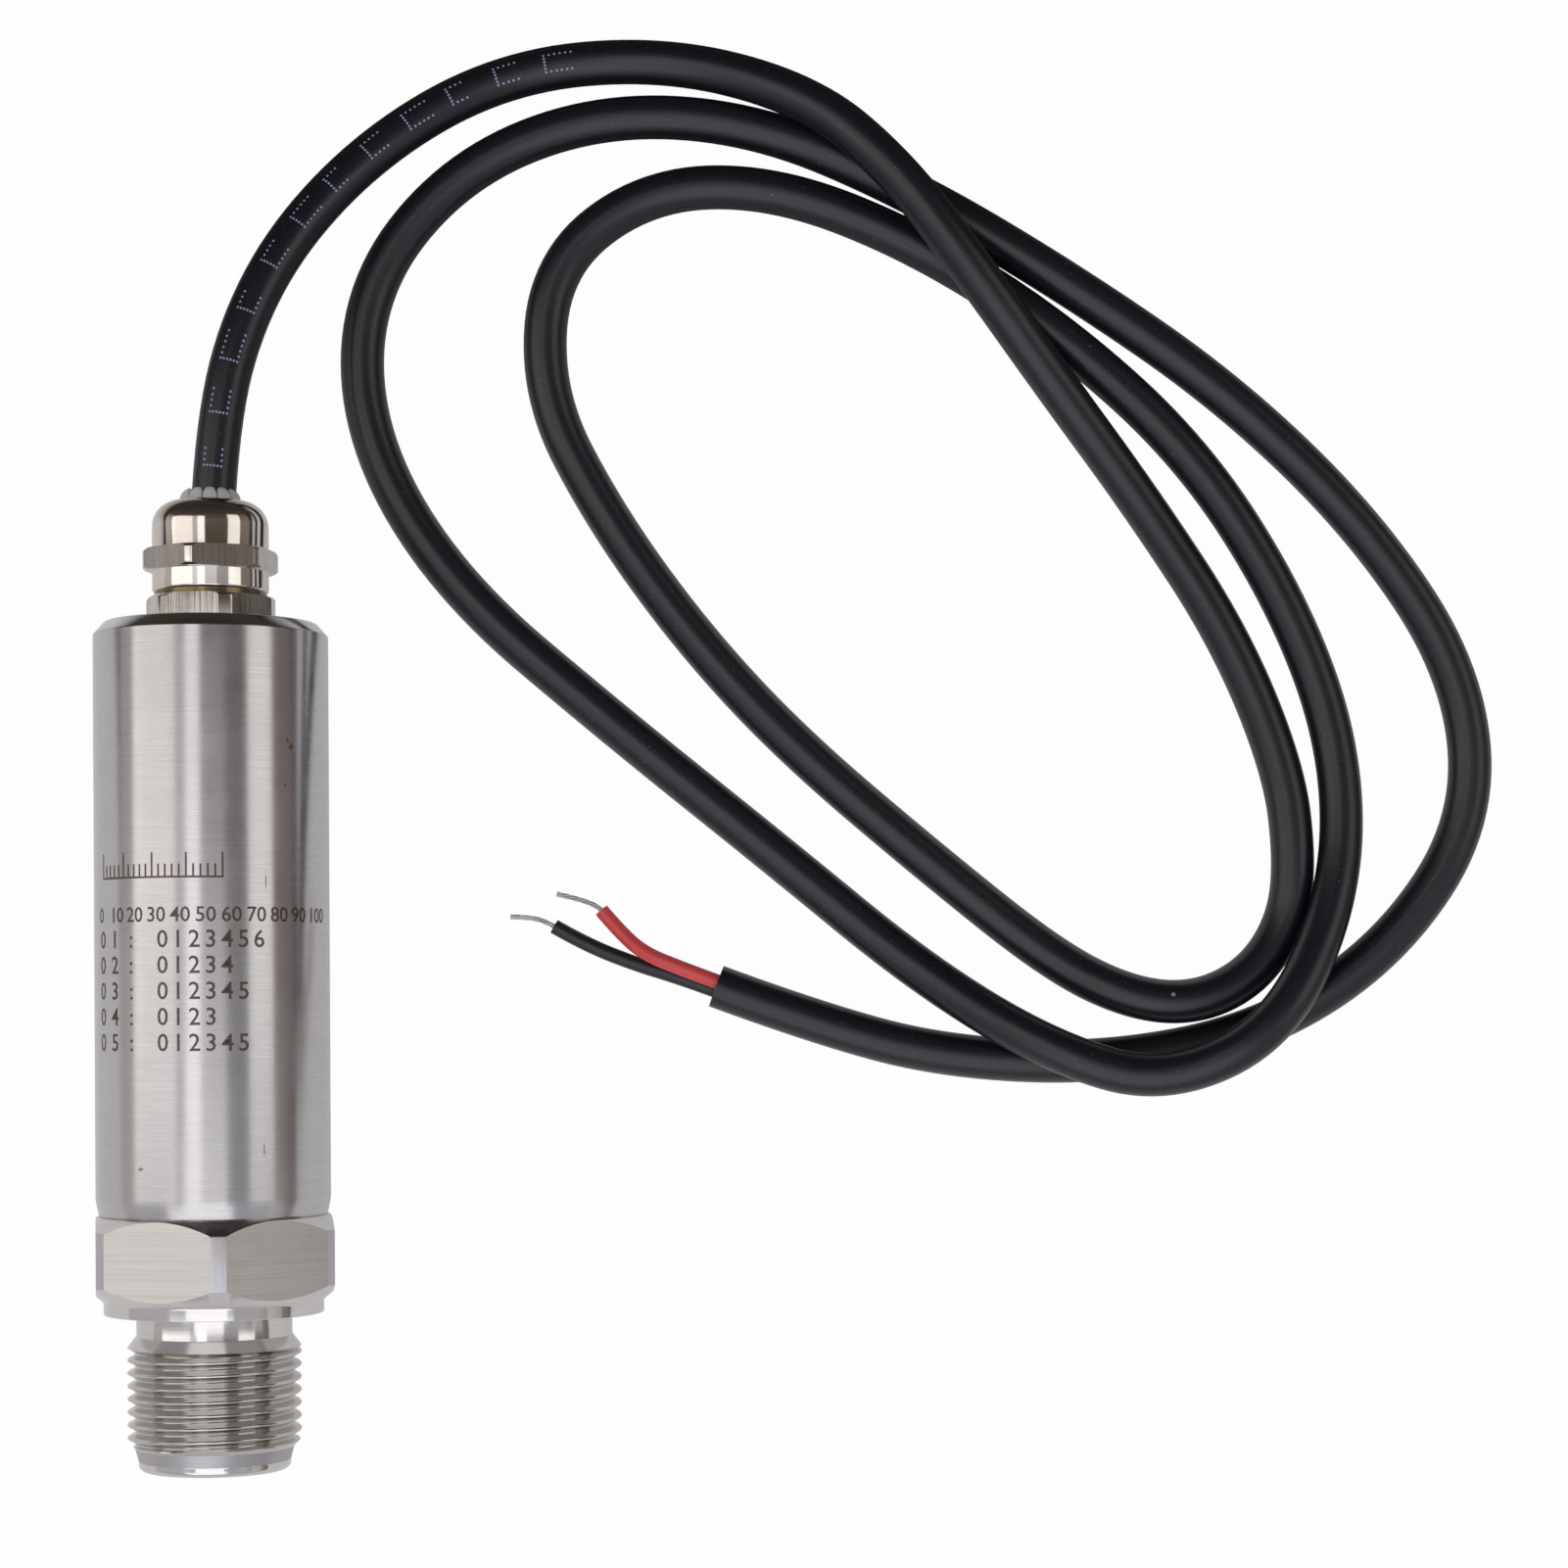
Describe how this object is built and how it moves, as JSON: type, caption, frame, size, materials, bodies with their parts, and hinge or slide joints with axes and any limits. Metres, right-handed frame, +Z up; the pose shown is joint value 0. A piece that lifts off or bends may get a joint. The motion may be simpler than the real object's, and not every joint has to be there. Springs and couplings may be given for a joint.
{
  "type": "pressure transmitter",
  "caption": "Cylindrical stainless steel pressure transmitter with a threaded process connection, wrench hexagon, cable gland and a long free two-core cable.",
  "frame": {"origin": "on the table, under the middle of the instrument without its cable", "axes": "+Z up, +Y along the instrument from the process thread towards the cable gland"},
  "size_m": [0.166, 0.1694, 0.0299],
  "materials": {
    "stainless_turned": "fine-turned stainless steel, machined flats",
    "stainless_satin": "satin-turned stainless steel tube",
    "nickel_plated_brass": "polished nickel plating on brass",
    "claw_nylon": "light grey moulded nylon",
    "seal_rubber": "black nitrile rubber",
    "cable_jacket": "satin black PVC",
    "insulation_red": "satin red PVC",
    "insulation_black": "satin black PVC",
    "tinned_copper": "tinned stranded copper",
    "circuit_board": "green solder mask",
    "black_epoxy": "moulded electronic packages",
    "trimmer_blue": "blue potentiometer cases",
    "terminal_green": "green terminal block",
    "sleeve_plastic": "natural insulating sleeve",
    "capacitor_ceramic": "fired ceramic chips",
    "capacitor_can": "drawn can",
    "gold_pin": "gold-plated pins"
  },
  "bodies": {
    "root": {"process_connection": "stainless_turned", "housing": "stainless_satin", "housing_seal_ring": "seal_rubber", "sensor_cell": "stainless_turned", "isolating_diaphragm": "stainless_turned", "cell_seal_ring": "seal_rubber", "cell_lock_ring": "stainless_turned", "header_pins": "gold_pin", "compensation_board": "circuit_board", "link_pins": "gold_pin", "board_sleeve": "sleeve_plastic", "signal_board": "circuit_board", "amplifier_chip": "black_epoxy", "zero_trimmer": "trimmer_blue", "span_trimmer": "trimmer_blue", "filter_capacitor": "capacitor_can", "loop_transistor": "black_epoxy", "chip_resistors": "capacitor_ceramic", "terminal_block": "terminal_green", "inner_lead_red": "insulation_red", "inner_lead_black": "insulation_black", "gland_body": "nickel_plated_brass", "gland_seal_ring": "seal_rubber", "gland_seal": "seal_rubber", "gland_claw": "claw_nylon", "gland_nut": "nickel_plated_brass", "cable": "cable_jacket", "core_red": "insulation_red", "core_black": "insulation_black", "tip_red": "tinned_copper", "tip_black": "tinned_copper"}
  },
  "joints": []
}
